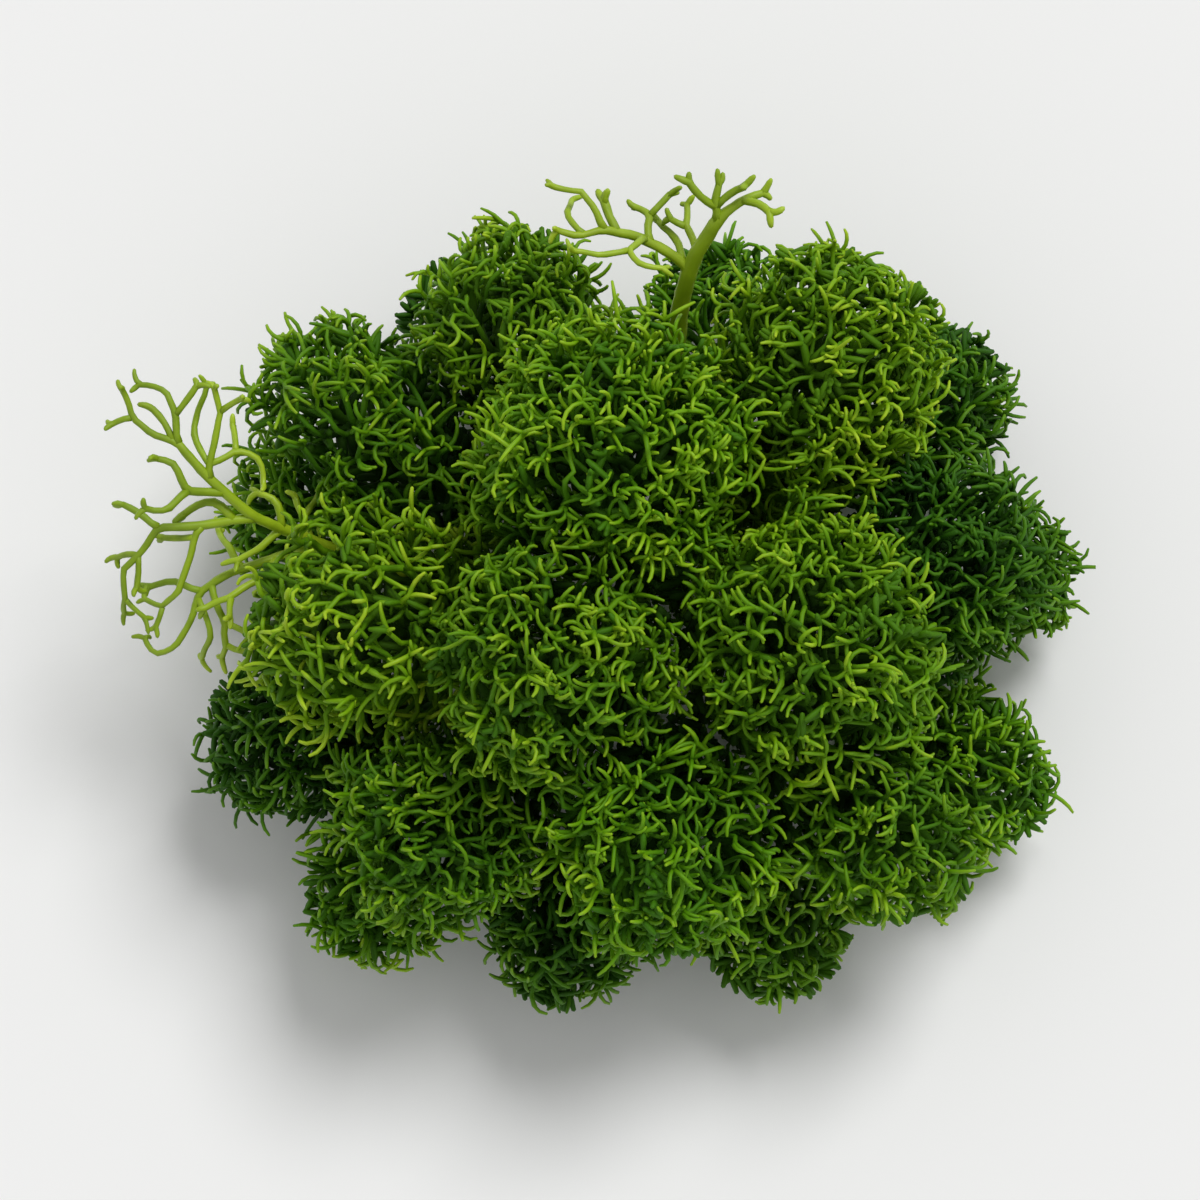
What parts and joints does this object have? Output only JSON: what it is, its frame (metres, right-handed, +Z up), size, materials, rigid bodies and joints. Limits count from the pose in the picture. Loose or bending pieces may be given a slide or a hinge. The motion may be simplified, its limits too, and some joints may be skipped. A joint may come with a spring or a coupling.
{
  "type": "reindeer moss clump",
  "caption": "Domed clump of dyed reindeer moss: bushy, finely forked lichen stems that fan out from one small patch, with open antler-like stems at its edge.",
  "frame": {"origin": "on the ground under the middle of the clump, at the bottom centre of its bounding box", "axes": "+Z up; +X to the right and +Y to the back, as the clump is seen from the front and above; the antler-like stem points to -X"},
  "size_m": [0.0999, 0.0831, 0.0505],
  "materials": {
    "leaf_green": "satin",
    "moss_green": "satin",
    "lime_green": "satin",
    "deep_green": "satin",
    "pale_lime": "satin"
  },
  "bodies": {
    "root": {"crown_head": "leaf_green", "middle_head": "moss_green", "left_head": "lime_green", "right_head": "lime_green", "front_left_head": "moss_green", "front_head": "leaf_green", "front_right_head": "moss_green", "back_right_head": "lime_green", "back_head": "lime_green", "back_left_head": "moss_green", "side_right_head": "deep_green", "low_left_head": "deep_green", "low_front_left_head": "leaf_green", "low_front_head": "deep_green", "low_front_right_head": "moss_green", "low_right_head": "leaf_green", "low_side_right_head": "moss_green", "low_back_right_head": "deep_green", "low_back_head": "leaf_green", "low_back_left_head": "deep_green", "low_side_left_head": "leaf_green", "antler_spray": "pale_lime", "bare_stem_spray": "pale_lime"}
  },
  "joints": []
}
